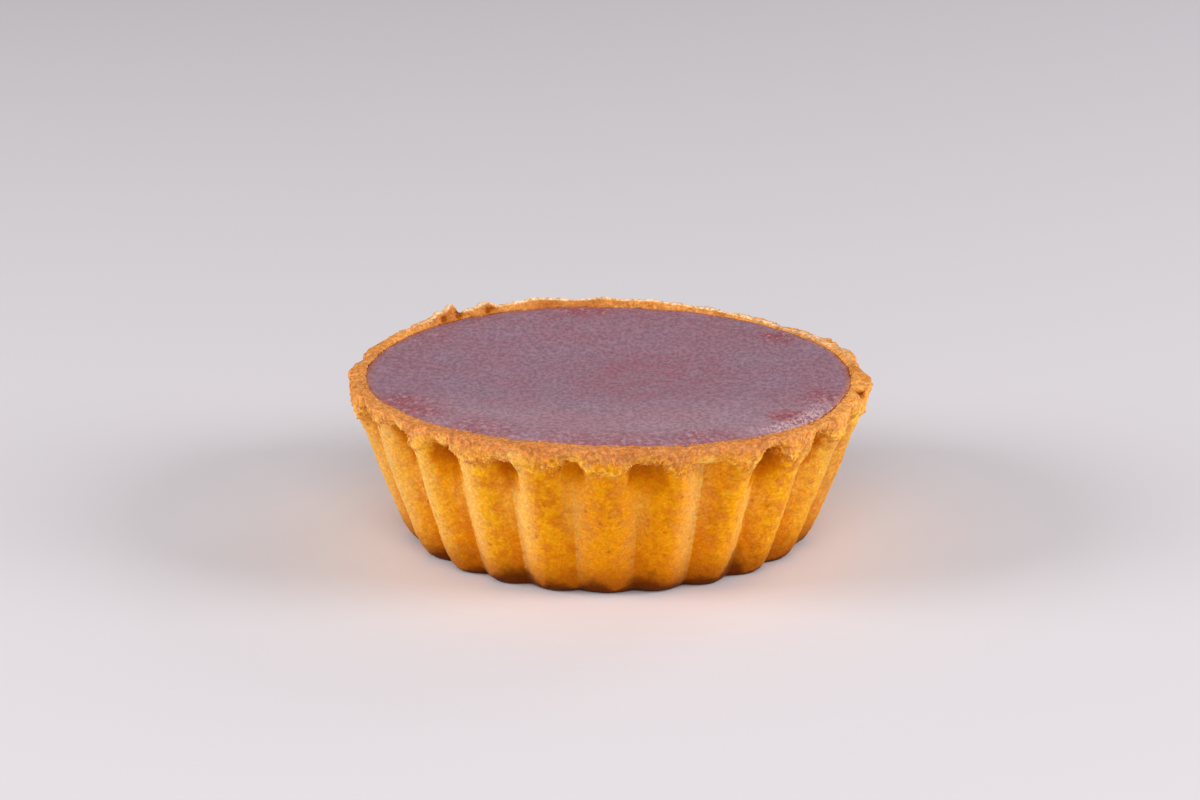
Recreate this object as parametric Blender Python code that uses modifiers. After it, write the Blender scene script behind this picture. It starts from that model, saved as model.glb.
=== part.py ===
"""A fluted tartlet: a shortcrust shell baked in a ribbed tin, filled to the brim with purple yam cheese custard.

Units are metres and +Z is up. The origin is the middle of the flat base, on the table.
Angles round the tart are measured from the front (-Y) and grow towards the right (+X).

Both pieces start as a turned profile, a Screw modifier on half of a section.
The shell's blank is then pressed into the tin: every ring has its own groove depth, and every flute its own
lower edge of the lip. Last, rim and custard follow the same slow waves.
"""

import math
import random

import bmesh
import bpy
from mathutils import Matrix, Vector

MM = 0.001
COLLECTION = "ube_cheese_tart"

# Overall sizes
HEIGHT = 25.2 * MM
LIP_RADIUS = 37.7 * MM
BASE_RADIUS = 27.6 * MM
FLOOR_THICKNESS = 3.2 * MM
GAP = 0.3 * MM

# Flutes
FLUTES = 22
STEPS_PER_FLUTE = 10
FIRST_GROOVE = math.radians(7.4)
RIB_ROUNDNESS = 1.8
NOTCH_SHARPNESS = 3.0
SIDE_STRETCH = math.radians(-2.7)
BACK_STRETCH = math.radians(-1.55)
LEFT_PUSH = (math.radians(2.1), math.radians(-70.0), math.radians(25.0))

# One line for each groove at the front: how much higher the lip's lower edge lies over it, then over the
# rib on its right, how deep the notch between two lobes of the lip is there, how deep the groove is, and how
# far the lip's arch over it reaches to the left and to the right, in flutes.
# Grooves count from the front, and the others are drawn.
FRONT_FLUTES = {
    -7: (1.10 * MM, 0.10 * MM, 0.1, 0.97, 0.24, 0.26),
    -6: (1.20 * MM, -0.80 * MM, 0.2, 1.00, 0.22, 0.30),
    -5: (1.80 * MM, 1.00 * MM, 0.7, 0.90, 0.15, 0.38),
    -4: (1.60 * MM, -0.15 * MM, 0.4, 1.00, 0.18, 0.42),
    -3: (1.50 * MM, 0.00 * MM, 0.15, 1.05, 0.26, 0.24),
    -2: (0.75 * MM, 0.15 * MM, 0.1, 0.95, 0.15, 0.20),
    -1: (1.60 * MM, -0.20 * MM, 0.1, 0.60, 0.15, 0.18),
    0: (1.25 * MM, -0.40 * MM, 0.1, 0.60, 0.18, 0.36),
    1: (0.50 * MM, -0.70 * MM, 0.1, 0.80, 0.35, 0.31),
    2: (1.20 * MM, -1.50 * MM, 0.2, 1.00, 0.24, 0.22),
    3: (0.90 * MM, -0.90 * MM, 0.4, 1.05, 0.25, 0.23),
    4: (0.80 * MM, -0.60 * MM, 0.7, 1.00, 0.30, 0.20),
    5: (1.00 * MM, 0.20 * MM, 0.2, 1.00, 0.25, 0.25),
}
FLUTE_SEED = 31
ARCH_RANGE = (0.8 * MM, 1.5 * MM)
RIB_RANGE = (-0.4 * MM, 0.8 * MM)
NOTCH_RANGE = (0.7, 1.1)
DEPTH_RANGE = (0.88, 1.05)
REACH_RANGE = (0.16, 0.32)
DEPTH_WAVE = 0.08

# An arch of the lip ends more abruptly on the side that faces the front: how softly it ends, in flutes, by
# how much of that the two sides differ, and how soon round the tart the full difference is reached
ARCH_SOFTNESS = 0.1
SOFTNESS_CHANGE = 0.45
CHANGE_SPEED = 2.5

# The custard baked in a slow wave, and the rim follows it: count, size, angle of a high place
CUSTARD_LEVEL = 23.6 * MM
WAVES = (
    (1, 0.26 * MM, math.radians(-107.0)),
    (2, 0.16 * MM, math.radians(-9.0)),
    (3, 0.18 * MM, math.radians(-24.0)),
)
FRONT_DENT = (-0.35 * MM, math.radians(55.0), math.radians(16.0))
FILLING_SHIFT = -0.30 * MM

# How much of its height over the custard the rim keeps: everywhere, then share, angle and half width
LEAST_STAND = 0.18
RIM_STANDS = (
    (0.58, math.radians(-140.0), math.radians(45.0)),
    (0.45, math.radians(172.0), math.radians(22.0)),
    (0.25, math.radians(100.0), math.radians(12.0)),
)

# Lumps of dough on the rim: height, angle and half width along the rim
RIM_LUMPS = (
    (1.45 * MM, math.radians(-137.8), math.radians(1.9)),
    (0.85 * MM, math.radians(-134.0), math.radians(1.7)),
    (0.85 * MM, math.radians(-148.4), math.radians(2.5)),
    (0.35 * MM, math.radians(-162.0), math.radians(5.0)),
    (0.30 * MM, math.radians(-178.0), math.radians(3.0)),
    (0.35 * MM, math.radians(93.0), math.radians(4.0)),
)

# Where the lip bulges out further or less far: by how much, angle and half width
RIM_BUMPS = (
    (0.25 * MM, math.radians(-109.0), math.radians(4.0)),
    (-0.95 * MM, math.radians(-100.5), math.radians(2.8)),
    (0.35 * MM, math.radians(-90.0), math.radians(5.0)),
    (-0.70 * MM, math.radians(75.5), math.radians(3.0)),
    (0.50 * MM, math.radians(85.3), math.radians(4.0)),
    (-1.40 * MM, math.radians(94.0), math.radians(3.2)),
    (0.45 * MM, math.radians(105.8), math.radians(3.0)),
    (-0.40 * MM, math.radians(111.8), math.radians(2.5)),
    (1.10 * MM, math.radians(118.0), math.radians(3.5)),
)
DEEPEST_NOTCH = 1.65 * MM

# Outside of the shell over a rib, in millimetres, from the rim's inner edge down to the base.
# Each ring: radius, height, how much deeper it lies in a groove, how deep a notch of the lip is there,
# how far the hollow under the lip eats into it, and how much it moves with the lip's lower edge.
OUTSIDE = (
    (35.28, 24.05, 0.00, 0.00, 0.0, 0.00),
    (35.55, 24.85, 0.00, 0.05, 0.0, 0.00),
    (36.05, HEIGHT / MM, 0.00, 0.35, 0.0, 0.00),
    (36.85, 24.90, 0.00, 0.95, 0.0, 0.00),
    (37.45, 24.15, 0.00, 1.45, 0.0, 0.10),
    (LIP_RADIUS / MM, 23.00, 0.00, DEEPEST_NOTCH / MM, 0.0, 0.35),
    (37.65, 21.75, 0.10, DEEPEST_NOTCH / MM, 0.0, 0.75),
    (37.38, 20.75, 0.50, 1.45, 0.1, 1.00),
    (36.95, 20.20, 1.80, 0.60, 0.8, 1.00),
    (36.55, 19.20, 2.80, 0.00, 1.0, 0.80),
    (35.75, 17.00, 3.10, 0.00, 0.4, 0.20),
    (34.00, 12.00, 3.20, 0.00, 0.0, 0.00),
    (31.95, 6.60, 2.90, 0.00, 0.0, 0.00),
    (30.45, 2.90, 2.50, 0.00, 0.0, 0.00),
    (29.25, 0.95, 2.10, 0.00, 0.0, 0.00),
    (28.45, 0.25, 1.95, 0.00, 0.0, 0.00),
    (BASE_RADIUS / MM, 0.00, 1.90, 0.00, 0.0, 0.00),
)

# Inside of the shell, from the middle of its floor up to the rim: a plain cup under the filling
INSIDE = (
    (0.0, FLOOR_THICKNESS / MM),
    (24.4, FLOOR_THICKNESS / MM),
    (25.8, 4.4),
    (31.1, 20.0),
    (33.3, 22.4),
    (35.1, 23.4),
)

INNER_RIM_RADIUS = 35.4 * MM
UNDERSIDE_RADIUS = 23.0

# Heights over which a change fades in on the way up: the rim's waves, its lumps, and the filling's shift;
# and the distances from the middle over which the custard takes up the rim's waves
WAVE_FADE = (20.5 * MM, 23.4 * MM)
LUMP_FADE = (24.2 * MM, 25.0 * MM)
SHIFT_FADE = (20.0 * MM, 23.4 * MM)
CUSTARD_FADE = (14.0 * MM, 33.0 * MM)

# How finely the pieces are made
FILLING_STEPS = 96
SHARP_ANGLE = math.radians(38)
WELD_DISTANCE = 0.01 * MM
RING_MATCH = 0.02 * MM
ON_AXIS = 1.0 * MM
WAVE_GAIN = 1.4

# Top of the filling: a sunken middle, then a low ring that rolls down to the rim
FILLING_TOP = (
    (0.0, 22.95),
    (9.0, 22.95),
    (15.0, 23.12),
    (20.0, 23.40),
    (25.0, 23.70),
    (29.0, 23.88),
    (32.0, 23.92),
    (34.0, 23.84),
)


def clear_scene():
    for old in list(bpy.data.objects):
        bpy.data.objects.remove(old, do_unlink=True)


def make_material(name, color, roughness):
    material = bpy.data.materials.new(name)
    material.use_nodes = True
    shader = material.node_tree.nodes["Principled BSDF"]
    shader.inputs["Base Color"].default_value = (*color, 1.0)
    shader.inputs["Roughness"].default_value = roughness
    shader.inputs["Metallic"].default_value = 0.0
    return material


def turned(name, profile, steps):
    """Turn a profile of (radius, height) in millimetres round Z and return the welded mesh."""
    bm = bmesh.new()
    points = [bm.verts.new((radius * MM, 0.0, height * MM)) for radius, height in profile]
    for start, end in zip(points, points[1:]):
        bm.edges.new((start, end))
    outline = bpy.data.meshes.new(name + "_profile")
    bm.to_mesh(outline)
    bm.free()

    blank = bpy.data.objects.new(name + "_blank", outline)
    bpy.context.scene.collection.objects.link(blank)
    screw = blank.modifiers.new("turn", "SCREW")
    screw.axis = "Z"
    screw.angle = math.tau
    screw.steps = steps
    screw.render_steps = steps
    screw.use_merge_vertices = True
    screw.merge_threshold = WELD_DISTANCE

    graph = bpy.context.evaluated_depsgraph_get()
    mesh = bpy.data.meshes.new_from_object(blank.evaluated_get(graph))
    bpy.data.objects.remove(blank, do_unlink=True)

    bm = bmesh.new()
    bm.from_mesh(mesh)
    bmesh.ops.remove_doubles(bm, verts=bm.verts, dist=WELD_DISTANCE)
    bm.to_mesh(mesh)
    bm.free()
    mesh.name = name
    return mesh


def wave(turn, *parts):
    """A smooth uneven value between about -1 and 1 that goes once round the tart."""
    return sum(math.sin(count * turn + count * count) for count in parts) / len(parts) * WAVE_GAIN


def away_from(angle, place):
    return (angle - place + math.pi) % math.tau - math.pi


def bells(angle, places):
    """Sum of bell curves round the tart, each with a height, the angle of its middle and a half width."""
    return sum(height * math.exp(-((away_from(angle, place) / width) ** 2)) for height, place, width in places)


def real_angle(turn):
    """The tin is not perfectly regular: its flutes are a little closer together at the front and right."""
    stretched = SIDE_STRETCH * math.sin(turn) + BACK_STRETCH * (1.0 - math.cos(turn))
    return turn + stretched + bells(turn, (LEFT_PUSH,))


def custard_wave(angle):
    """How much higher or lower than its level the custard's edge baked at this angle."""
    swings = sum(size * math.cos(count * (angle - place)) for count, size, place in WAVES)
    return swings + bells(angle, (FRONT_DENT,))


def ramp(value, low, high):
    share = min(max((value - low) / (high - low), 0.0), 1.0)
    return share * share * (3.0 - 2.0 * share)


def draw_flutes():
    """One entry for each groove, in the order of FRONT_FLUTES."""
    draw = random.Random(FLUTE_SEED)
    ranges = (ARCH_RANGE, RIB_RANGE, NOTCH_RANGE, DEPTH_RANGE, REACH_RANGE, REACH_RANGE)
    flutes = []
    for number in range(FLUTES):
        place = number if number <= FLUTES // 2 else number - FLUTES
        drawn = tuple(draw.uniform(low, high) for low, high in ranges)
        flutes.append(FRONT_FLUTES.get(place, drawn))
    return flutes


def arch_over(off_groove, left, right, turn):
    """1 under the lip's arch over a groove and 0 beside it. Distances from the groove are in flutes."""
    side = min(max(CHANGE_SPEED * math.sin(turn), -1.0), 1.0)
    soft_left = ARCH_SOFTNESS * (1.0 - SOFTNESS_CHANGE * side)
    soft_right = ARCH_SOFTNESS * (1.0 + SOFTNESS_CHANGE * side)
    starts = ramp(off_groove + left, -soft_left, soft_left)
    ends = ramp(off_groove - right, -soft_right, soft_right)
    return starts * (1.0 - ends)


def ring_of(radius, height):
    """The ring of OUTSIDE that a blank vertex belongs to, or a ring that is pressed nowhere."""
    for ring in OUTSIDE:
        if math.hypot(ring[0] * MM - radius, ring[1] * MM - height) < RING_MATCH:
            return ring
    return (0.0,) * len(OUTSIDE[0])


def press_shell(mesh):
    """Press the turned blank into the fluted tin, and let its lip bulge over the top of the ribs."""
    flutes = draw_flutes()
    for vertex in mesh.vertices:
        radius = math.hypot(vertex.co.x, vertex.co.y)
        height = vertex.co.z
        if radius < ON_AXIS:
            continue
        turn = math.atan2(vertex.co.x, -vertex.co.y)
        angle = real_angle(turn)
        place = (turn - FIRST_GROOVE) / math.tau * FLUTES
        off_groove = place - round(place)
        from_crown = 1.0 - 2.0 * abs(off_groove)
        over_groove, _, notching, depth, left, right = flutes[round(place) % FLUTES]
        over_rib = flutes[math.floor(place) % FLUTES][1]

        deeper, notch, hollow, hang = [value * MM for value in ring_of(radius, height)[2:]]
        arched = arch_over(off_groove, left, right, turn)
        uneven = depth * (1.0 + DEPTH_WAVE * wave(turn, 5, 7))
        pressed = deeper * from_crown ** RIB_ROUNDNESS * uneven
        pressed += notch * from_crown ** NOTCH_SHARPNESS * notching
        pressed += hollow * arched
        new_radius = radius - pressed + bells(angle, RIM_BUMPS) * notch / DEEPEST_NOTCH
        new_height = height + hang / MM * (over_rib + (over_groove - over_rib) * arched)

        stand = LEAST_STAND + bells(angle, RIM_STANDS)
        new_height -= max(height - CUSTARD_LEVEL, 0.0) * (1.0 - stand)
        new_height += custard_wave(angle) * ramp(height, *WAVE_FADE)
        new_height += bells(angle, RIM_LUMPS) * ramp(height, *LUMP_FADE)
        shift = FILLING_SHIFT * ramp(height, *SHIFT_FADE) * (radius < INNER_RIM_RADIUS)
        vertex.co.x = new_radius * math.sin(angle) + shift
        vertex.co.y = -new_radius * math.cos(angle)
        vertex.co.z = new_height


def settle_filling(mesh):
    """Let the custard's edge rise and fall in its waves, and stand a little left of the middle at its top."""
    for vertex in mesh.vertices:
        radius = math.hypot(vertex.co.x, vertex.co.y)
        angle = math.atan2(vertex.co.x, -vertex.co.y)
        above_wall = vertex.co.z - GAP
        outward = ramp(radius, *CUSTARD_FADE)
        vertex.co.x += FILLING_SHIFT * ramp(above_wall, *SHIFT_FADE)
        vertex.co.z += custard_wave(angle) * ramp(above_wall, *WAVE_FADE) * outward


def add_piece(name, mesh, material, collection):
    piece = bpy.data.objects.new(name, mesh)
    collection.objects.link(piece)
    mesh.materials.clear()
    mesh.materials.append(material)
    mesh.shade_smooth()
    mesh.set_sharp_from_angle(angle=SHARP_ANGLE)
    return piece


def make_crust(collection):
    outside = [ring[:2] for ring in OUTSIDE]
    base = [(UNDERSIDE_RADIUS, 0.0), (0.0, 0.0)]
    mesh = turned("crust", list(INSIDE) + outside + base, FLUTES * STEPS_PER_FLUTE)
    press_shell(mesh)
    golden = make_material("crust", (0.72, 0.36, 0.07), 0.75)
    return add_piece("crust", mesh, golden, collection)


def make_filling(collection):
    gap = GAP / MM
    side = [(max(radius - gap, 0.0), height + gap) for radius, height in reversed(INSIDE)]
    profile = list(FILLING_TOP) + side
    mesh = turned("ube_filling", profile, FILLING_STEPS)
    settle_filling(mesh)
    mauve = make_material("ube_filling", (0.31, 0.18, 0.21), 0.45)
    return add_piece("ube_filling", mesh, mauve, collection)


def centre_on_origin(crust, filling):
    """Slide both pieces together, so that the middle of the shell's outline stands on the origin."""
    across = [vertex.co.x for vertex in crust.data.vertices]
    along = [vertex.co.y for vertex in crust.data.vertices]
    middle = Vector(((min(across) + max(across)) / 2, (min(along) + max(along)) / 2, 0.0))
    for piece in (crust, filling):
        piece.data.transform(Matrix.Translation(-middle))


def main():
    clear_scene()
    collection = bpy.data.collections.new(COLLECTION)
    bpy.context.scene.collection.children.link(collection)
    crust = make_crust(collection)
    filling = make_filling(collection)
    centre_on_origin(crust, filling)


main()
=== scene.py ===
# %% [markdown]
# # An ube cheese tart
#
# The real thing is a small shortcrust shell, baked in a ribbed tin and filled to the brim with a
# greyish mauve custard. This lesson dresses the plain solids of that tart: a sandy, golden crust
# with a bulging lip, a custard with a damp skin, and the crumbs that fall off any pastry.
#
# The first cell loads the plain solids. They fix every size, and the finished pieces stand where they
# stand. The tart's own tables are in millimetres and degrees, and become metres where they meet
# Blender. The fineness of a noise, the lamps and the camera are given in metres from the start.

# %% Load the plain solids
import math
import random
from types import SimpleNamespace

import bmesh
import bpy
from mathutils import Matrix, Vector, noise


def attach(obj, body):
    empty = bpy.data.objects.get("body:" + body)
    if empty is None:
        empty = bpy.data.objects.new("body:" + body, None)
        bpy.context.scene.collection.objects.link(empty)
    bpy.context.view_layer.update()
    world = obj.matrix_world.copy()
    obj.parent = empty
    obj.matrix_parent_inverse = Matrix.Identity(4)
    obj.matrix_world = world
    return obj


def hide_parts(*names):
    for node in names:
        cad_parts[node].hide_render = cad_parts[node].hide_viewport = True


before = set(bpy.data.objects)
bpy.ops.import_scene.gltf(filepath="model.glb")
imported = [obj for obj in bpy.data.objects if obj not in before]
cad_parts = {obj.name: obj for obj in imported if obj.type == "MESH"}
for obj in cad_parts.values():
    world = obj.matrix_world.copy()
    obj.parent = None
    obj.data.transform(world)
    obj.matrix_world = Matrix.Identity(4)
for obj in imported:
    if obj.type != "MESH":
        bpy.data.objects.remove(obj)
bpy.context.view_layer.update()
MM = 0.001
print("plain solids:", sorted(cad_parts))

# %% [markdown]
# ## Helpers for node trees
#
# Geometry Nodes and materials are both trees of nodes, so one set of helpers serves both. A `Value` is
# one output of a node, and every sign in a formula of values adds a Math node, so a rule is written as
# the formula it is. `source` adds any other node, and `node` does so in the tree its inputs come from.

# %% Values that calculate with nodes
class Value:
    """An output of a node that can stand in a formula."""

    def __init__(self, socket):
        self.socket = socket
        self.tree = socket.id_data

    def sibling(self, output):
        return Value(self.socket.node.outputs[output])

    def __add__(self, other):
        return calc("ADD", self, other)

    def __radd__(self, other):
        return calc("ADD", other, self)

    def __sub__(self, other):
        return calc("SUBTRACT", self, other)

    def __rsub__(self, other):
        return calc("SUBTRACT", other, self)

    def __mul__(self, other):
        return calc("MULTIPLY", self, other)

    def __truediv__(self, other):
        return calc("DIVIDE", self, other)

    def __neg__(self):
        return calc("MULTIPLY", self, -1.0)


def plug(value, socket):
    """Link a value to a socket, or type a plain one in."""
    if isinstance(value, Value):
        value.tree.links.new(value.socket, socket)
    else:
        socket.default_value = value


def source(tree, kind, inputs=None, output=0, **settings):
    made = tree.nodes.new(kind)
    for option, value in settings.items():
        setattr(made, option, value)
    for place, value in (inputs or {}).items():
        plug(value, made.inputs[place])
    return Value(made.outputs[output])


def node(kind, inputs, output=0, **settings):
    tree = next(value.tree for value in inputs.values() if isinstance(value, Value))
    return source(tree, kind, inputs, output, **settings)


def calc(operation, *values):
    return node("ShaderNodeMath", dict(enumerate(values)), operation=operation)


print("values ready")

# %% [markdown]
# A few nodes are used so often that they get a name of their own. The most useful one is `ramp`, which
# rises smoothly from 0 to 1 between two values, and falls where the first of them is the larger.

# %% Name the common nodes
def ramp(value, low, high):
    return node("ShaderNodeMapRange", {0: value, 1: low, 2: high}, interpolation_type="SMOOTHSTEP")


def clamp(value, low, high):
    return node("ShaderNodeClamp", {0: value, 1: low, 2: high})


def blend(share, first, second):
    return node("ShaderNodeMix", {0: share, 2: first, 3: second}, data_type="FLOAT")


def tint(share, first, second):
    return node("ShaderNodeMix", {0: share, 6: first, 7: second}, 2, data_type="RGBA")


def speckle(where, fineness, detail=2.0, roughness=0.5):
    inputs = {"Vector": where, "Scale": fineness, "Detail": detail, "Roughness": roughness}
    return node("ShaderNodeTexNoise", inputs)


def cells(where, fineness):
    return node("ShaderNodeTexVoronoi", {"Vector": where, "Scale": fineness}, "Distance", feature="F1")


def rare(cell, limit):
    """1 in the few cells whose random colour is above the limit, and 0 in all the others."""
    return calc("GREATER_THAN", split(cell.sibling("Color"))[0], limit)


def split(vector):
    first = node("ShaderNodeSeparateXYZ", {0: vector})
    return first, first.sibling(1), first.sibling(2)


def scaled(vector, factor):
    return node("ShaderNodeVectorMath", {0: vector, "Scale": factor}, operation="SCALE")


def distance(where, spot):
    return node("ShaderNodeVectorMath", {0: where, 1: spot}, "Value", operation="DISTANCE")


def bell(turn, place, width):
    """1 at one angle round the tart, falling to 0 on both sides. Place and width are in degrees."""
    away = calc("WRAP", turn - math.radians(place), math.pi, -math.pi) / math.radians(width)
    return calc("EXPONENT", -(away * away))


def bells(turn, table):
    """The bells of a whole table, one for each row of size, angle and half width, added up."""
    return sum(bell(turn, place, width) * size for size, place, width in table)


def waves(turn, *counts):
    """A smooth uneven value between about -1 and 1 that goes once round the tart."""
    return sum(calc("SINE", turn * count + count * count) for count in counts) * (1.4 / len(counts))


print("common nodes ready")

# %% [markdown]
# The next helpers write a Geometry Nodes tree with named inputs, and run it. The tree runs on an empty
# host object. Its result is copied out as a plain mesh, and the host is removed.

# %% Write and run a tree
def start_tree(name, sockets, result):
    tree = bpy.data.node_groups.new(name, "GeometryNodeTree")
    tree.is_modifier = True
    for label, kind in sockets.items():
        tree.interface.new_socket(label, in_out="INPUT", socket_type="NodeSocket" + kind)
    tree.interface.new_socket(result, in_out="OUTPUT", socket_type="NodeSocketGeometry")
    given = tree.nodes.new("NodeGroupInput").outputs
    return tree, {label: Value(given[label]) for label in sockets}


def end_tree(tree, geometry, material):
    loose = node("GeometryNodeRealizeInstances", {0: geometry})
    painted = node("GeometryNodeSetMaterial", {"Geometry": loose, "Material": material})
    plug(painted, tree.nodes.new("NodeGroupOutput").inputs[0])


def remember(geometry, name, value):
    inputs = {"Geometry": geometry, "Name": name, "Value": value}
    return node("GeometryNodeStoreNamedAttribute", inputs, data_type="FLOAT", domain="POINT")


def remembered(tree, name):
    return source(tree, "GeometryNodeInputNamedAttribute", {"Name": name}, data_type="FLOAT")


def look_up(holder, number, name=None):
    """Read a helper mesh's vertex: its position, or one of its named values."""
    inputs = {"Geometry": node("GeometryNodeObjectInfo", {"Object": holder}, "Geometry"), "Index": number}
    kind = "FLOAT" if name else "FLOAT_VECTOR"
    if name:
        inputs["Value"] = remembered(holder.tree, name)
    else:
        inputs["Value"] = source(holder.tree, "GeometryNodeInputPosition")
    return node("GeometryNodeSampleIndex", inputs, data_type=kind, domain="POINT")


def run_tree(tree, name, values):
    host = bpy.data.objects.new(name + "_host", bpy.data.meshes.new(name + "_host"))
    bpy.context.scene.collection.objects.link(host)
    modifier = host.modifiers.new(tree.name, "NODES")
    modifier.node_group = tree
    for item in tree.interface.items_tree:
        if item.item_type == "SOCKET" and item.in_out == "INPUT":
            modifier[item.identifier] = values[item.name]
    graph = bpy.context.evaluated_depsgraph_get()
    mesh = bpy.data.meshes.new_from_object(host.evaluated_get(graph))
    mesh.name = name
    bpy.data.objects.remove(host, do_unlink=True)
    return place_object(name, mesh)


def place_object(name, content):
    made = bpy.data.objects.new(name, content)
    bpy.context.scene.collection.objects.link(made)
    return made


print("tree helpers ready")

# %% [markdown]
# ## The section of the shell
#
# Cut the tart in half and the shell shows one outline: from the middle of the floor inside, up the inner
# wall, over the rim and the bulging lip, down the outside and back along the underside. The table holds
# that outline over the crown of a rib. The other columns say how the same ring differs elsewhere: how
# much deeper it lies in a groove, how deep the notch between two lobes of the lip is, how far the hollow
# under the lip eats into it, how much it moves with the lip's lower edge, and how much of it is lip or
# edge. A smooth curve through the rings gives the rows of the finished mesh, about a third of a
# millimetre apart.

# %% Draw the section
SECTION = (
    # radius, height, deeper, notch, hollow, hang, lip, edge
    (0.0, 3.20, 0, 0, 0, 0, 0, 0),
    (24.4, 3.20, 0, 0, 0, 0, 0, 0),
    (25.8, 4.40, 0, 0, 0, 0, 0, 0),
    (31.1, 20.00, 0, 0, 0, 0, 0, 0),
    (33.3, 22.40, 0, 0, 0, 0, 0.4, 0),
    (35.1, 23.40, 0, 0, 0, 0, 0.9, 0),
    (35.28, 24.05, 0, 0, 0, 0, 1, 0),
    (35.55, 24.85, 0, 0.05, 0, 0, 1, 0),
    (36.05, 25.20, 0, 0.35, 0, 0, 1, 0),
    (36.85, 24.90, 0, 0.95, 0, 0, 1, 0),
    (37.45, 24.15, 0, 1.45, 0, 0.1, 1, 0),
    (37.70, 23.00, 0, 1.65, 0, 0.35, 0.9, 0),
    (37.65, 21.75, 0.10, 1.65, 0, 0.75, 0.7, 0.3),
    (37.38, 20.75, 0.50, 1.45, 0.1, 1, 0.5, 1),
    (36.95, 20.20, 1.80, 0.6, 0.8, 1, 0, 0.5),
    (36.55, 19.20, 2.80, 0, 1, 0.8, 0, 0),
    (35.75, 17.00, 3.10, 0, 0.4, 0.2, 0, 0),
    (34.00, 12.00, 3.20, 0, 0, 0, 0, 0),
    (31.95, 6.60, 2.90, 0, 0, 0, 0, 0),
    (30.45, 2.90, 2.50, 0, 0, 0, 0, 0),
    (29.25, 0.95, 2.10, 0, 0, 0, 0, 0),
    (28.45, 0.25, 1.95, 0, 0, 0, 0, 0),
    (27.60, 0.00, 1.90, 0, 0, 0, 0, 0),
    (23.00, 0.00, 0, 0, 0, 0, 0, 0),
    (0.00, 0.00, 0, 0, 0, 0, 0, 0),
)
DEEPEST_NOTCH = max(ring[3] for ring in SECTION)
ROW_SPACING = 0.34
HIDDEN_ROW_SPACING = 3.0
FIRST_SEEN_RING = 5
LAST_SEEN_RING = 22


def between(before, start, end, after, share):
    """A smooth curve through four values, from the second to the third (Catmull-Rom)."""
    bend = -before + 3.0 * start - 3.0 * end + after
    pull = 2.0 * before - 5.0 * start + 4.0 * end - after
    return start + 0.5 * share * (end - before + share * (pull + share * bend))


def section_rows(rings):
    rows = []
    for number in range(len(rings) - 1):
        start, end = rings[number], rings[number + 1]
        seen = FIRST_SEEN_RING <= number < LAST_SEEN_RING
        before = rings[number - 1] if seen else start
        after = rings[number + 2] if seen else end
        length = math.dist(start[:2], end[:2]) + 0.5 * abs(start[2] - end[2])
        steps = max(1, math.ceil(length / (ROW_SPACING if seen else HIDDEN_ROW_SPACING)))
        for part in range(steps):
            share = part / steps
            if seen:
                rows.append([between(*values, share) for values in zip(before, start, end, after)])
            else:
                rows.append([low + (high - low) * share for low, high in zip(start, end)])
    rows.append([float(value) for value in rings[-1]])
    return rows


def table_object(name, points, **columns):
    """A helper mesh that only carries one vertex, with its named values, for each line of a table."""
    mesh = bpy.data.meshes.new(name)
    mesh.from_pydata(points, [], [])
    for label, values in columns.items():
        attribute = mesh.attributes.new(label, "FLOAT", "POINT")
        attribute.data.foreach_set("value", values)
    holder = place_object(name, mesh)
    holder.hide_render = True
    return holder


rows = section_rows(SECTION)
section = table_object(
    "section",
    [(row[0], 0.0, row[1]) for row in rows],
    deeper=[row[2] for row in rows],
    notch=[max(row[3], 0.0) for row in rows],
    hollow=[max(row[4], 0.0) for row in rows],
    hang=[row[5] for row in rows],
    lip=[min(max(row[6], 0.0), 1.0) for row in rows],
    edge=[min(max(row[7], 0.0), 1.0) for row in rows],
)
INNER_RIM_RADIUS = 35.3
INNER_RIM_HEIGHT = 23.0
last_inner_row = max(
    number
    for number, row in enumerate(rows)
    if row[0] < INNER_RIM_RADIUS and row[1] > INNER_RIM_HEIGHT
)
print("rows from floor to underside:", len(rows))

# %% [markdown]
# ## No two flutes are alike
#
# Dough pressed into a tin by hand fills every flute a little differently. The lip's lower edge hangs low
# over one rib and high over the next, and arches over the grooves by different amounts. The hollows under
# it are painted darker by different amounts, as toasting and as painted shade under the lip. The flutes
# that the eye rests on, at the front, get their own values, and the others draw theirs from a fixed seed.
# One vertex stands for one groove and the rib to its right.

# %% Give each flute its own character
FLUTES = 22
FIRST_GROOVE = 7.4
FRONT_FLUTES = {
    # groove: how much higher the lip's edge lies over it, then over the rib on its right,
    # how deep its notch is, how deep the groove is, how far the arch over it reaches to the left
    # and to the right, in flutes, and how much toast and painted shade darken its hollow
    -7: (1.10, 0.10, 0.1, 0.97, 0.24, 0.26, 0.5),
    -6: (1.20, -0.80, 0.2, 1.00, 0.22, 0.30, 0.4),
    -5: (1.80, 1.00, 0.7, 0.90, 0.15, 0.38, 0.6),
    -4: (1.60, -0.15, 0.4, 1.00, 0.18, 0.42, 0.8),
    -3: (1.50, 0.00, 0.15, 1.05, 0.26, 0.24, 0.8),
    -2: (0.75, 0.15, 0.1, 0.95, 0.15, 0.20, 0.6),
    -1: (1.60, -0.20, 0.1, 0.60, 0.15, 0.18, 0.4),
    0: (1.25, -0.40, 0.1, 0.60, 0.18, 0.36, 0.6),
    1: (0.50, -0.70, 0.1, 0.80, 0.35, 0.31, 0.0),
    2: (1.20, -1.50, 0.2, 1.00, 0.24, 0.22, 1.0),
    3: (0.90, -0.90, 0.4, 1.05, 0.25, 0.23, 0.7),
    4: (0.80, -0.60, 0.7, 1.00, 0.30, 0.20, 0.5),
    5: (1.00, 0.20, 0.2, 1.00, 0.25, 0.25, 0.4),
}
draw = random.Random(31)
draw_toast_and_shade = random.Random(5)
flutes = []
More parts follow.
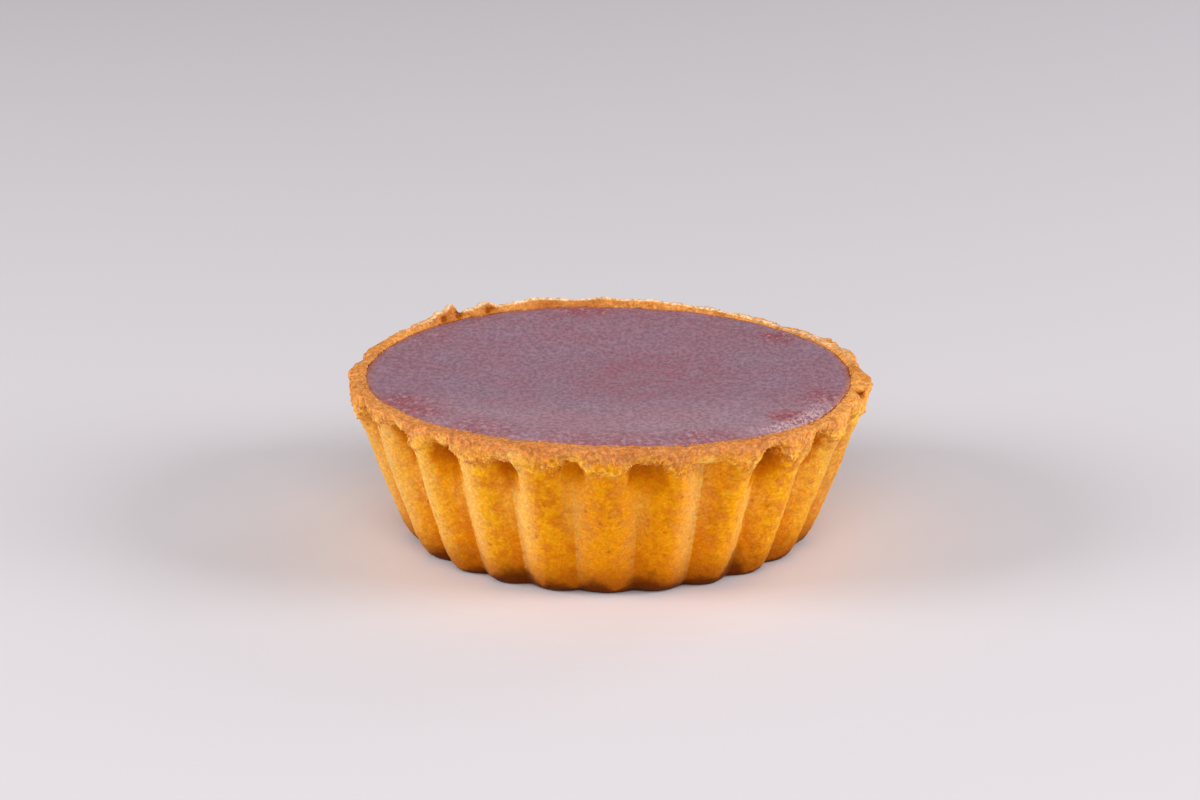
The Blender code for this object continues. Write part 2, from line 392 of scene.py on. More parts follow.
for number in range(FLUTES):
    place = number if number <= FLUTES // 2 else number - FLUTES
    arch, rib, notch = draw.uniform(0.8, 1.5), draw.uniform(-0.4, 0.8), draw.uniform(0.7, 1.1)
    depth, left, right = draw.uniform(0.88, 1.05), draw.uniform(0.16, 0.32), draw.uniform(0.16, 0.32)
    toast = draw_toast_and_shade.uniform(0.2, 0.9)
    flutes.append(FRONT_FLUTES.get(place, (arch, rib, notch, depth, left, right, toast)))
flute_table = table_object(
    "flute_table",
    [(flute[0], flute[1], 0.0) for flute in flutes],
    notching=[flute[2] for flute in flutes],
    depth=[flute[3] for flute in flutes],
    left=[flute[4] for flute in flutes],
    right=[flute[5] for flute in flutes],
    toast=[flute[6] for flute in flutes],
)
print("arches in mm:", [round(flute[0], 2) for flute in flutes])

# %% [markdown]
# ## A rim that isn't level
#
# The custard filled the shell to the brim and baked in a slow wave, higher at the left and lower at the
# front right. The rim follows that wave. It stands a good millimetre above the custard at the back and is
# all but level with it at the front, where the custard ran up to it. Lumps of dough stand on it at the
# back left with small hollows beside them, one more hollow is at the right, and at both ends of the tart
# the lip bulges and draws in. The Geometry Nodes of the shell and the Python of the custard both need
# the wave, so it is kept as a table.

# %% Describe the rim
CUSTARD_LEVEL = 23.60
WAVES = (
    # count, size, angle of a high place
    (1, 0.26, -107.0),
    (2, 0.16, -9.0),
    (3, 0.18, -24.0),
)
# One dip in the wave, at the front right: size, angle and half width
FRONT_DENT = (-0.35, 55.0, 16.0)
RIM_STANDS = (
    # how much of its height the rim keeps above the custard: share, angle, half width
    (0.58, -140.0, 45.0),
    (0.45, 172.0, 22.0),
    (0.25, 100.0, 12.0),
)
LEAST_STAND = 0.18
# The wave grows from nothing to its full size between these heights
WAVE_GROWS = (20.5, 23.4)
RIM_LUMPS = (
    # height, angle and half width along the rim
    (1.45, -137.8, 1.9),
    (0.85, -134.0, 1.7),
    (0.85, -148.4, 2.5),
    (0.35, -162.0, 5.0),
    (0.30, -178.0, 3.0),
    (0.35, 93.0, 4.0),
)
RIM_HOLLOWS = (
    # angle, radius, height, size and how brown
    (-139.8, 35.5, 25.0, 1.1, 1.0),
    (-135.2, 35.4, 24.7, 0.9, 0.9),
    (-148.6, 35.4, 24.7, 0.9, 0.9),
    (-150.4, 35.5, 25.0, 0.7, 0.6),
    (78.5, 37.2, 23.3, 1.5, 1.0),
)
RIM_BUMPS = (
    # how far the lip bulges out, angle and half width
    (0.25, -109.0, 4.0),
    (-0.95, -100.5, 2.8),
    (0.35, -90.0, 5.0),
    (-0.70, 75.5, 3.0),
    (0.50, 85.3, 4.0),
    (-1.40, 94.0, 3.2),
    (0.45, 105.8, 3.0),
    (-0.40, 111.8, 2.5),
    (1.10, 118.0, 3.5),
)


def wave_height(angle):
    height = sum(size * math.cos(count * (angle - math.radians(place))) for count, size, place in WAVES)
    depth, place, width = FRONT_DENT
    away = (angle - math.radians(place) + math.pi) % math.tau - math.pi
    return height + depth * math.exp(-((away / math.radians(width)) ** 2))


edge_heights = [round(wave_height(math.radians(angle)), 2) for angle in range(0, 360, 45)]
print("custard's edge in mm, every 45 degrees:", edge_heights)

# %% [markdown]
# ## The fluted shell in Geometry Nodes
#
# The shell is a flat grid rolled up. Across the grid runs the turn round the tart, and along it the row
# of the section. First every vertex has to know where it lies: 0 on the crown of a rib and 1 in the
# groove, with a power in between that rounds the rib and keeps the groove narrow. It also has to know
# whether it is under the arch of the lip, which ends abruptly on the side that faces the front.

# %% Find the place in the flutes
GROOVE_SOFTNESS = 0.012
NOTCH_SHARPNESS = 3.0
ARCH_TURNOVER = 2.5
ARCH_LOPSIDED = 0.45
# How the flutes are spread, in degrees: leaning over, drawn back, and pushed at one angle
LEANING = -2.7
DRAWN_BACK = -1.55
PUSHED = (2.1, -70.0, 25.0)


def grid_places(tree, given):
    """The flat grid, with each vertex's row and the share of the turn that it stands at."""
    columns = given["Flutes"] * given["Columns per Flute"] + 1.0
    size = {"Size X": 1.0, "Size Y": 1.0, "Vertices X": columns, "Vertices Y": given["Rows"]}
    across, along = split(source(tree, "GeometryNodeInputPosition"))[:2]
    row = calc("ROUND", (along + 0.5) * (given["Rows"] - 1.0))
    return node("GeometryNodeMeshGrid", size, "Mesh"), row, across + 0.5


def arch_over(given, at):
    """1 under the arch that the lip makes over a groove, and 0 beside it."""
    off_groove = at.place - calc("ROUND", at.place)
    side = clamp(calc("SINE", at.turn) * ARCH_TURNOVER, -1.0, 1.0)
    soft_left = (side * -ARCH_LOPSIDED + 1.0) * given["Arch Softness"]
    soft_right = (side * ARCH_LOPSIDED + 1.0) * given["Arch Softness"]
    past_left = off_groove + look_up(given["Flute Table"], at.nearest, "left")
    past_right = off_groove - look_up(given["Flute Table"], at.nearest, "right")
    return ramp(past_left, -soft_left, soft_left) * ramp(past_right, soft_right, -soft_right)


def flute_places(given, share):
    """Which groove and rib a vertex belongs to, and how far into the groove it lies."""
    at = SimpleNamespace()
    at.turn = share * math.tau + given["First Groove"]
    at.place = share * given["Flutes"]
    at.nearest = calc("FLOORED_MODULO", calc("ROUND", at.place), given["Flutes"])
    at.on_rib = calc("FLOORED_MODULO", calc("FLOOR", at.place), given["Flutes"])
    at.off_crown = calc("FRACT", at.place) * 2.0 - 1.0
    from_crown = calc("ABSOLUTE", at.off_crown)
    to_groove = 1.0 - from_crown
    soft = calc("SQRT", to_groove * to_groove + GROOVE_SOFTNESS)
    at.groove = calc("MAXIMUM", calc("POWER", 1.0 - soft, given["Rib Roundness"]), 0.0)
    at.cleft = calc("POWER", from_crown, NOTCH_SHARPNESS)
    at.arched = arch_over(given, at)
    return at


def spread_out(turn):
    """The flutes stand a little closer together at the front and right, as in the tin."""
    spread = calc("SINE", turn) * LEANING + (1.0 - calc("COSINE", turn)) * DRAWN_BACK
    return turn + (spread + bells(turn, [PUSHED])) * math.radians(1.0)


print("flute rules ready, for", FLUTES, "flutes")

# %% [markdown]
# Now the nodes look up the section at every vertex, press it in, let the lip's lower edge hang, and add
# the waves, lumps and bulges of the rim. The values that the colours will need are stored on the way.
# Then the grid is rolled up, and its seam and its poles are closed.

# %% Roll the grid up
CREST_GROWS = (24.2, 25.0)
SWELL_RADII = (34.0, 36.0)
SWELL_HEIGHTS = (16.0, 20.0)
INNER_WALL_TOP = (20.0, 23.4)
UNEVEN_DEPTH = 0.08
RIPPLE = 0.10
SWELL = 0.12
FILLING_ASIDE = -0.30
TOAST_AND_SHADE_PER_MM = 0.9
WELD_DISTANCE = 0.004
CENTRE = Vector((0.0, -0.03, 0.0))


def rim_height(ring_height, turn, angle):
    """How the rim follows its waves, and stands higher at the back than at the front."""
    swings = [calc("COSINE", (angle - math.radians(place)) * count) * size for count, size, place in WAVES]
    swung = (sum(swings) + bells(angle, [FRONT_DENT])) * ramp(ring_height, *WAVE_GROWS)
    above = calc("MAXIMUM", ring_height - CUSTARD_LEVEL, 0.0)
    lowered = above * (bells(angle, RIM_STANDS) + (LEAST_STAND - 1.0))
    crest = ramp(ring_height, *CREST_GROWS)
    raised = (bells(angle, RIM_LUMPS) + waves(turn, 11, 17, 23) * RIPPLE) * crest
    return swung + lowered + raised, crest


def rolled_shell(tree, given):
    grid, row, share = grid_places(tree, given)
    at = flute_places(given, share)
    angle = spread_out(at.turn)

    # Look up the section and the flutes
    ring_radius, _, ring_height = split(look_up(given["Section"], row))
    ring_values = ("deeper", "notch", "hollow", "hang", "lip", "edge")
    deeper, notch, hollow, hang, lip, edge = [look_up(given["Section"], row, name) for name in ring_values]
    flute_values = ("depth", "notching", "toast")
    depth, notching, toast = [look_up(given["Flute Table"], at.nearest, name) for name in flute_values]
    over_groove = split(look_up(given["Flute Table"], at.nearest))[0]
    over_rib = split(look_up(given["Flute Table"], at.on_rib))[1]

    # Press the section in, and let the lip's lower edge hang
    uneven = (waves(at.turn, 5, 7) * UNEVEN_DEPTH + 1.0) * depth
    pressed = deeper * at.groove * uneven + notch * at.cleft * notching + hollow * at.arched
    bulged = bells(angle, RIM_BUMPS) * notch / DEEPEST_NOTCH
    radius = ring_radius - pressed + bulged
    raised, crest = rim_height(ring_height, at.turn, angle)
    height = ring_height + blend(at.arched, over_rib, over_groove) * hang + raised
    swelling = waves(at.turn, 6, 13) * SWELL
    radius = radius + swelling * ramp(radius, *SWELL_RADII) * ramp(height, *SWELL_HEIGHTS)
    inside = calc("LESS_THAN", row, float(last_inner_row)) * ramp(ring_height, *INNER_WALL_TOP)

    # Store what the colours need, roll the grid up and close it
    values = {"groove": at.groove, "crest": crest, "lip": lip, "edge": edge, "flank": at.off_crown}
    # How dark the roof under the lip is painted: toasting and painted shade together
    values["toasted"] = hollow * at.arched * TOAST_AND_SHADE_PER_MM * toast
    for name, value in values.items():
        grid = remember(grid, name, value)
    across = radius * calc("SINE", angle) + (inside * FILLING_ASIDE - CENTRE.x)
    along = -(radius * calc("COSINE", angle)) - CENTRE.y
    rolled = scaled(node("ShaderNodeCombineXYZ", {0: across, 1: along, 2: height}), MM)
    shell = node("GeometryNodeSetPosition", {"Geometry": grid, "Position": rolled})
    return node("GeometryNodeMergeByDistance", {"Geometry": shell, "Distance": WELD_DISTANCE * MM})


print("rim tables:", len(RIM_LUMPS), "lumps,", len(RIM_HOLLOWS), "hollows,", len(RIM_BUMPS), "bumps")

# %% [markdown]
# Last, the whole surface gets its crumb along its normals: broad dents, lumps, grains and a few pits, a
# ragged lower edge of the lip, and the small hollows of the rim. Sculpting could do this once. The rule
# does it evenly all the way round, and can be changed in one place.

# %% Roughen the shell
# How fine, how detailed and how deep each layer is
DENTS = (110.0, 1.0, 0.50)
LUMPS = (420.0, 2.0, 0.40)
GRAINS = (1300.0, 2.0, 0.40)
PIT_FINENESS = 480.0
# A pit or a hollow starts at the first of these distances and has its full depth at the second
PIT_SLOPE = (0.30, 0.10)
PIT_DEPTH = 0.20
PIT_LIMIT = 0.80
RAGGED_FINENESS = 700.0
RAGGED_DEPTH = 1.3
RAGGED_START = -0.60
LIP_ROUGHER = 0.7
WALL_ROUGH = 0.8
HOLLOW_SLOPE = (1.3, 0.2)
HOLLOW_DEPTH = 0.45
FLAT_FOOT = (0.02, 0.9)
COLUMNS_PER_FLUTE = 34


def at_angle(radius, angle, height=0.0):
    """A point round the tart. Its angle is counted from the front, towards the right."""
    return Vector((radius * math.sin(angle), -radius * math.cos(angle), height))


def rough(spot, fineness, detail, size):
    return (speckle(spot, fineness, detail) - 0.5) * size


def roughened(tree, shell, strength):
    """The normals of the rolled grid point into the crust, so a positive push digs."""
    spot = source(tree, "GeometryNodeInputPosition")
    pit = cells(spot, PIT_FINENESS)
    pits = ramp(pit, *PIT_SLOPE) * rare(pit, PIT_LIMIT) * PIT_DEPTH
    ragged = speckle(spot, RAGGED_FINENESS, 1.0) * RAGGED_DEPTH + RAGGED_START
    rough_lip = remembered(tree, "lip") * LIP_ROUGHER + WALL_ROUGH
    relief = rough(spot, *DENTS) + (rough(spot, *LUMPS) + rough(spot, *GRAINS)) * rough_lip
    relief = relief + pits + ragged * remembered(tree, "edge")
    dark = 0.0
    for place, radius, height, wide, brown in RIM_HOLLOWS:
        middle = at_angle(radius, math.radians(place), height) - CENTRE
        slope = [far * wide * MM for far in HOLLOW_SLOPE]
        dug = ramp(distance(spot, middle * MM), *slope)
        relief = relief + dug * (HOLLOW_DEPTH * wide)
        dark = dug * brown + dark
    shell = remember(shell, "dug", dark)
    standing = ramp(split(spot)[2], *[height * MM for height in FLAT_FOOT])
    push = scaled(source(tree, "GeometryNodeInputNormal"), relief * strength * standing * MM)
    return node("GeometryNodeSetPosition", {"Geometry": shell, "Offset": push})


def shell_tree():
    inputs = {
        "Section": "Object",
        "Flute Table": "Object",
        "Rows": "Int",
        "Flutes": "Int",
        "Columns per Flute": "Int",
        "First Groove": "Float",
        "Rib Roundness": "Float",
        "Arch Softness": "Float",
        "Crumb Relief": "Float",
        "Crust": "Material",
    }
    tree, given = start_tree("fluted_shell", inputs, "Shell")
    shell = roughened(tree, rolled_shell(tree, given), given["Crumb Relief"])
    end_tree(tree, node("GeometryNodeSetShadeSmooth", {0: shell}), given["Crust"])
    return tree


shell_rule = shell_tree()
print("shell tree:", len(shell_rule.nodes), "nodes")

# %% [markdown]
# ## The crust's colour
#
# Shortcrust browns where it touches hot metal and stays pale where it doesn't. The crowns of the ribs are
# golden, yellower towards the sides as a painted side light. Their flanks carry a painted highlight where
# they face away from the front and painted shade where they face it, and a painted rim light creams both
# sides. The roof of each groove is toasted brown and painted darker as the shade under the lip, and the
# lower corner is toasted brown. The lip, which stood out of the tin, is a duller salmon tan, painted
# lighter golden at the ends and the back where its top faces the light, with a painted highlight along
# its crest at the back. On top of that every square millimetre is speckled. The colours read the values
# that the shell's nodes stored, so they follow the shape from every side.

# %% Paints and places
def paint(red, green, blue):
    """Screen colours, as a picture editor gives them, turned into the linear light Blender works in."""
    parts = [part / 255.0 for part in (red, green, blue)]
    return (*[p / 12.92 if p <= 0.04045 else ((p + 0.055) / 1.055) ** 2.4 for p in parts], 1.0)


GOLD = paint(238, 152, 0)
YELLOW_GOLD = paint(250, 176, 16)
DEEP_GOLD = paint(218, 126, 0)
PAINTED_FLANK_HIGHLIGHT = paint(243, 188, 94)
PAINTED_RIM_LIGHT = paint(206, 166, 118)
AMBER = paint(200, 112, 0)
TOASTED = paint(146, 66, 0)
SALMON_LIP = paint(212, 134, 70)
BROWN_LIP = paint(190, 108, 44)
GOLDEN_LIP = paint(240, 164, 80)
PAINTED_CREST_HIGHLIGHT = paint(250, 214, 172)
LIP_CRUMB_AND_HIGHLIGHT = paint(252, 190, 70)
SCORCHED = paint(94, 38, 0)
FLOURY = paint(255, 226, 176)


def start_material(name):
    material = bpy.data.materials.new(name)
    material.use_nodes = True
    tree = material.node_tree
    return material, tree.nodes["Principled BSDF"], source(tree, "ShaderNodeTexCoord", output="Object")


def coat(shader, **looks):
    for name, value in looks.items():
        plug(value, shader.inputs[name.replace("_", " ")])


def crust_places(where):
    """What the crust's colours depend on: where a point lies and how the dough is speckled there."""
    at = SimpleNamespace()
    for name in ("groove", "crest", "lip", "edge", "flank", "toasted", "dug"):
        setattr(at, name, source(where.tree, "ShaderNodeAttribute", output="Fac", attribute_name=name))
    at.across, at.along, at.height = split(scaled(where, 1.0 / MM))
    at.bearing = calc("ARCTAN2", at.across, -at.along)
    at.off_middle = calc("ABSOLUTE", at.across)
    at.to_side = clamp(at.across / 12.0, -1.0, 1.0)
    at.behind = ramp(at.along, 0.0, 20.0)
    at.patches = speckle(where, 520.0, 3.0, 0.6)
    at.fine = speckle(where, 1500.0, 3.0, 0.65)
    at.sand = speckle(where, 2900.0, 2.0, 0.7)
    at.mottling = speckle(where, 130.0, 3.0, 0.6) * 0.4 + at.patches * 0.6
    at.light = ramp(at.sand * 0.5 + at.fine * 0.5, 0.36, 0.64)
    at.roof = at.toasted * (at.patches * 1.4 - 0.1 + at.fine * 0.8)
    at.lip_share = ramp(at.lip + (at.patches * 0.8 - 0.4), 0.45, 0.95)
    return at


print("paints ready")

# %% [markdown]
# Each part of the crust has its own little recipe. Low numbers keep a layer thin, and a ramp of one of
# the noises breaks its edge, because nothing on a baked crust ends in a clean line.

# %% Mix the parts of the crust
BROWN_LUMPS = ((-136.5, 3.5), (-148.0, 2.8), (-165.0, 5.0), (-174.0, 5.0), (93.0, 3.0))


def rib_color(at):
    # Crowns: gold with deeper patches, large and small, and painted side light that makes them yellower
    # towards both sides and the left
    yellow = calc("MAXIMUM", ramp(at.off_middle, 6.0, 30.0), ramp(at.across, -2.0, -20.0))
    patchy = ramp(at.off_middle, 12.0, 28.0) * -0.45 + 1.0 + ramp(at.across, 12.0, 28.0) * 0.35
    color = tint(ramp(at.mottling, 0.42, 0.62) * patchy, tint(yellow, GOLD, YELLOW_GOLD), DEEP_GOLD)

    # Flanks: a painted highlight, paler the more they face away from the front, stronger at the left end
    # and the back and weaker to the right, and painted shade, a deeper gold where they face the front and
    # lower down
    outward = at.flank * at.to_side
    loose = at.patches * 0.5 - 0.25
    flank_shade = ramp(loose - outward, 0.0, 1.0) * (ramp(at.height, 16.0, 5.0) * 0.45 + 0.40)
    color = tint(flank_shade, color, DEEP_GOLD)
    at_ends = ramp(at.across, -6.0, -28.0) * 0.60 + ramp(at.across, 24.0, 34.0) * 0.30
    flank_highlight = ramp(loose + outward + blend(at.behind, at_ends, 0.30), -0.10, 0.80)
    # Grooves at mid height are painted paler: partly less-baked dough, partly painted light against their
    # shade
    valley = ramp(at.groove, 0.25, 0.75) * ramp(at.height, 7.0, 14.0) * 0.30
    strength = (ramp(at.across, -6.0, 10.0) * -0.20 + 0.88) * ramp(at.toasted, 0.30, 0.06)
    color = tint(calc("MAXIMUM", flank_highlight, valley) * strength, color, PAINTED_FLANK_HIGHLIGHT)
    # A painted rim light: cream towards both sides of the tart
    color = tint(ramp(at.off_middle, 23.0, 33.0) * 0.24, color, PAINTED_RIM_LIGHT)

    # Roofs of the hollows under the lip: toasted, and painted darker as the shade under the overhanging
    # lip
    color = tint(ramp(at.roof, 0.06, 0.46), color, AMBER)
    return tint(ramp(at.roof, 0.50, 1.05) * 0.85, color, TOASTED)


def lip_color(at):
    # Salmon tan, browned in patches and on the lumps, and painted lighter golden at the ends and the back,
    # a painted light where the top of the lip faces up
    golden = ramp(at.off_middle, 20.0, 36.0) * (at.to_side * 0.22 + 0.60)
    golden = calc("MAXIMUM", golden, ramp(at.along, 4.0, 20.0) * 0.70)
    browned = ramp(at.mottling, 0.48, 0.64) * 0.55
    for place, width in BROWN_LUMPS:
        browned = calc("MAXIMUM", browned, bell(at.bearing, place, width) * ramp(at.fine, 0.35, 0.60))
    color = tint(browned, tint(golden, SALMON_LIP, GOLDEN_LIP), BROWN_LIP)

    # A painted highlight, cream, along the crest at the back and the back right
    right_back = at.behind * ramp(at.across, 0.0, 20.0) * 0.6
    crest_highlight = calc("MAXIMUM", ramp(at.along, 14.0, 30.0), right_back)
    crest_highlight = (ramp(at.fine, 0.35, 0.60) * 0.35 + 0.60) * crest_highlight
    color = tint(ramp(at.crest, 0.90, 1.0) * crest_highlight, color, PAINTED_CREST_HIGHLIGHT)
    return scaled(color, ramp(at.fine, 0.36, 0.64) * 0.30 + 0.85)


print("browned lumps on the lip:", len(BROWN_LUMPS))

# %% [markdown]
# The grain and the scorched lower corner lie over all of it. The finish is matt with a fine bump, so the
# light breaks on every grain.

# %% Put the crust together
SCORCH_PATCHES = (
    # angle, half width and height
    (36.5, 4.5, 6.4),
    (10.0, 7.0, 4.2),
    (-4.0, 5.0, 3.6),
    (-15.0, 5.0, 2.8),
    (25.0, 6.0, 2.4),
    (-27.0, 9.0, 4.0),
    (-41.0, 5.0, 2.0),
    (-57.0, 6.0, 3.0),
    (120.0, 8.0, 5.0),
    (-95.0, 6.0, 4.6),
    (175.0, 9.0, 5.4),
    (-140.0, 5.0, 4.4),
)
SCORCH_LINE = 0.8
SPECK_FINENESS = 900.0
SPECK_SLOPE = (0.42, 0.10)
SPECK_LIMIT = 0.93


def grain(at, where, color):
    # A little flour, and grains that are now yellower and now redder
    floury = ramp(at.light, 0.4, 1.0) * 0.05 + ramp(at.patches, 0.48, 0.72) * 0.03
    kept = calc("MAXIMUM", ramp(at.off_middle, 4.0, 22.0) * 0.70 + 0.30, at.lip_share)
    color = tint(floury * kept * ramp(at.roof, 0.18, 0.01), color, FLOURY)
    hue = ramp(speckle(where, 2300.0, 2.0, 0.7), 0.34, 0.66)
    grained = node("ShaderNodeCombineXYZ", {0: 1.0, 1: hue * 0.34 + 0.83, 2: hue * 0.9 + 0.55})
    return node("ShaderNodeVectorMath", {0: color, 1: grained}, operation="MULTIPLY")


def scorch(at, where, color):
    # Lower corner: a thin dark line all the way round, and taller scorched patches
    tall = ramp(speckle(where, 90.0, 1.0), 0.40, 0.70) * 1.5 + SCORCH_LINE
    for place, width, up in SCORCH_PATCHES:
        tall = calc("MAXIMUM", tall, bell(at.bearing, place, width) * up)
    ragged_height = (at.patches * 1.6 + 0.2) * at.height
    color = tint(ramp(at.height, 11.0, 3.0) * 0.35, color, DEEP_GOLD)
    color = tint(ramp(at.height, 6.8, 0.5) * 0.75, color, TOASTED)
    return tint(ramp(ragged_height / tall, 1.04, 0.28) * 0.90, color, SCORCHED)


def crust_material():
    material, shader, where = start_material("baked_shortcrust")
    at = crust_places(where)
    color = tint(at.lip_share, rib_color(at), lip_color(at))
    # The rim's small hollows are painted darker brown: partly browning, partly painted shade in the dents
    dug = at.dug * (at.fine * 0.8 + 0.6)
    color = tint(ramp(dug, 0.10, 0.70), color, tint(ramp(dug, 0.30, 0.90), AMBER, TOASTED))
    # The ragged lower edge of the lip: pale crumbs, with a painted highlight where the edge catches the
    # light
    color = tint(at.edge * ramp(at.fine, 0.45, 0.62), color, LIP_CRUMB_AND_HIGHLIGHT)
    color = scorch(at, where, grain(at, where, color))
    speck = cells(where, SPECK_FINENESS)
    dot = ramp(speck, *SPECK_SLOPE) * rare(speck, SPECK_LIMIT) * 0.40
    color = scaled(tint(dot, color, TOASTED), at.light * 0.20 + 0.90)
    bumps = at.fine * 0.8 + at.sand * 0.5 - dot * 0.6
    coat(
        shader,
        Base_Color=color,
        Roughness=at.fine * 0.25 + 0.52,
        Normal=node("ShaderNodeBump", {"Strength": 0.7, "Distance": 0.26 * MM, "Height": bumps}),
        Specular_IOR_Level=0.04,
        Sheen_Weight=0.01,
        Sheen_Roughness=0.45,
        Sheen_Tint=(1.0, 0.86, 0.72, 1.0),
    )
    return material


crust_finish = crust_material()
print("crust material:", len(crust_finish.node_tree.nodes), "nodes")

# %% [markdown]
# ## Bake the shell
#
# Now the tree runs and its result stands for the plain crust. The helper tables are removed, so what is
# left is one closed mesh, with its faces turned outwards.

# %% Bake the shell
def face_outwards(piece):
    bm = bmesh.new()
    bm.from_mesh(piece.data)
    bmesh.ops.recalc_face_normals(bm, faces=bm.faces)
    open_edges = sum(1 for edge in bm.edges if not edge.is_manifold)
    volume = bm.calc_volume(signed=True)
    bm.to_mesh(piece.data)
    bm.free()
    return open_edges, volume


crust = run_tree(
    shell_rule,
    "baked_crust",
    {
        "Section": section,
        "Flute Table": flute_table,
        "Rows": len(rows),
        "Flutes": FLUTES,
        "Columns per Flute": COLUMNS_PER_FLUTE,
        "First Groove": math.radians(FIRST_GROOVE),
        "Rib Roundness": 1.8,
        "Arch Softness": 0.1,
        "Crumb Relief": 1.0,
        "Crust": crust_finish,
    },
)
for helper in (section, flute_table):
    bpy.data.objects.remove(helper, do_unlink=True)
open_edges, volume = face_outwards(crust)
triangles = sum(len(face.vertices) - 2 for face in crust.data.polygons)
print("crust:", triangles, "triangles,", open_edges, "open edges,", round(volume * 1e6, 1), "cm3")
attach(crust, "root")
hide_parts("crust")

# %% [markdown]
# ## The custard
#
# The custard is poured level, sinks a little in the middle as it cools, and keeps a low ring just inside
# the crust. It is one round of rings that shrink to a point in the middle, above and below. A short
# function gives the height of its skin at any place, from the ring, the sunken middle and a little noise.

# %% Pour the custard
SKIN_RADIUS = 35.30
SKIN_MIDDLE = 22.95
SKIN_RISE = 0.95
EDGE_FALL = 0.16
BROAD_BUMPS = 0.16
SMALL_BUMPS = 0.07
EDGE_BUMPS = 0.16
PUCKERS = 0.035
SKIN_RINGS = 120
SKIN_SPOKES = 360
# Below 1, the rings lie closer together towards the edge
RING_SPREAD = 0.8
# Radius and height of the rings under the skin
BELOW_SKIN = ((34.90, 23.10), (33.00, 22.30), (30.80, 20.30), (25.50, 4.70), (24.10, 3.50))
UNDERSIDE = 3.50
FILLING_CENTRE = Vector((FILLING_ASIDE, 0.0, 0.0)) - CENTRE


def step(value, low, high):
    share = min(max((value - low) / (high - low), 0.0), 1.0)
    return share * share * (3.0 - 2.0 * share)


def skin_height(radius, angle):
    """The height of the skin. Each step grows between two radii."""
    spot = at_angle(radius, angle)
    height = SKIN_MIDDLE
    height += SKIN_RISE * step(radius, 9.0, 31.5)
    height -= EDGE_FALL * step(radius, 32.5, 35.0)
    height += wave_height(angle) * step(radius, 14.0, 33.0)
    height += BROAD_BUMPS * noise.noise(spot * 0.070) * step(radius / SKIN_RADIUS, 0.1, 0.6)
    height += SMALL_BUMPS * noise.noise(spot * 0.260 + Vector((5, 2, 1)))
    height += EDGE_BUMPS * noise.noise(spot * 0.420 + Vector((1, 7, 3))) * step(radius, 28.0, 33.0)
    height += PUCKERS * noise.noise(Vector((spot.x * 0.700, spot.y * 1.500, 4.0)))
    return height


def custard_rings():
    """The points of each ring, from the middle of the skin outwards and down to the underside."""
    angles = [math.tau * number / SKIN_SPOKES for number in range(SKIN_SPOKES)]
    for number in range(1, SKIN_RINGS + 1):
        radius = SKIN_RADIUS * (number / SKIN_RINGS) ** RING_SPREAD
        yield [at_angle(radius, angle, skin_height(radius, angle)) for angle in angles]
    for radius, height in BELOW_SKIN:
        share = step(height, *WAVE_GROWS)
        yield [at_angle(radius, angle, height + wave_height(angle) * share) for angle in angles]


def custard_mesh():
    bm = bmesh.new()
    rings = [[bm.verts.new(spot) for spot in ring] for ring in custard_rings()]
    top = bm.verts.new((0.0, 0.0, skin_height(0.0, 0.0)))
    bottom = bm.verts.new((0.0, 0.0, UNDERSIDE))
    for n in range(SKIN_SPOKES):
        after = (n + 1) % SKIN_SPOKES
        bm.faces.new((top, rings[0][n], rings[0][after]))
        bm.faces.new((bottom, rings[-1][after], rings[-1][n]))
        for inner, outer in zip(rings, rings[1:]):
            bm.faces.new((inner[n], outer[n], outer[after], inner[after]))
    bmesh.ops.recalc_face_normals(bm, faces=bm.faces)
    mesh = bpy.data.meshes.new("ube_custard")
    bm.to_mesh(mesh)
    bm.free()
    mesh.transform(Matrix.Scale(MM, 4) @ Matrix.Translation(FILLING_CENTRE))
    mesh.shade_smooth()
    return mesh


custard = place_object("ube_custard", custard_mesh())
print("custard:", len(custard.data.vertices), "vertices")

# %% [markdown]
# ## The custard's skin
#
# Ube gives the custard a greyish mauve. The skin is pinker in the middle, cooler and paler around it, and
# reddish and coarser in a narrow band at the edge, where the sugar cooks darkest. It is damp rather
# than wet: a soft sheen everywhere, and one glistening patch at the front right that is glossier and
# carries painted highlights on its folds. The front is painted paler as a painted sheen, pale painted
# highlights fleck the red band, and the outermost edge is tinted with painted light bounced from the
# crust.

# %% Mix the custard's skin
MAUVE = paint(150, 109, 124)
COOL_GREY = paint(148, 116, 132)
WARM_PINK = paint(152, 102, 116)
RED_EDGE = paint(150, 76, 84)
PAINTED_CRUST_BOUNCE = paint(190, 112, 78)
PAINTED_SHEEN = paint(224, 184, 188)
PINK_MIDDLE = (5.0, 2.0, 0.0)
DAMP_PLACE = (27.0, -20.5, 0.0)
LEAST_RED = 0.10
RED_PATCHES = (
    # across and along, how wide, how strong
    (-28.0, -16.5, 10.0, 0.80),
    (-17.0, -27.5, 9.0, 0.60),
    (0.0, -33.0, 14.0, 0.55),
    (13.0, -31.0, 8.0, 0.65),
    (25.0, -18.5, 5.0, 1.05),
    (29.2, -10.0, 6.5, 0.75),
    (25.0, 19.0, 5.0, 0.85),
    (-27.0, 17.0, 7.0, 0.35),
    (-4.0, 33.0, 7.0, 0.75),
)


def squeezed(where, share):
    return node("ShaderNodeMapping", {"Vector": where, "Scale": (1.0, share, 1.0)})


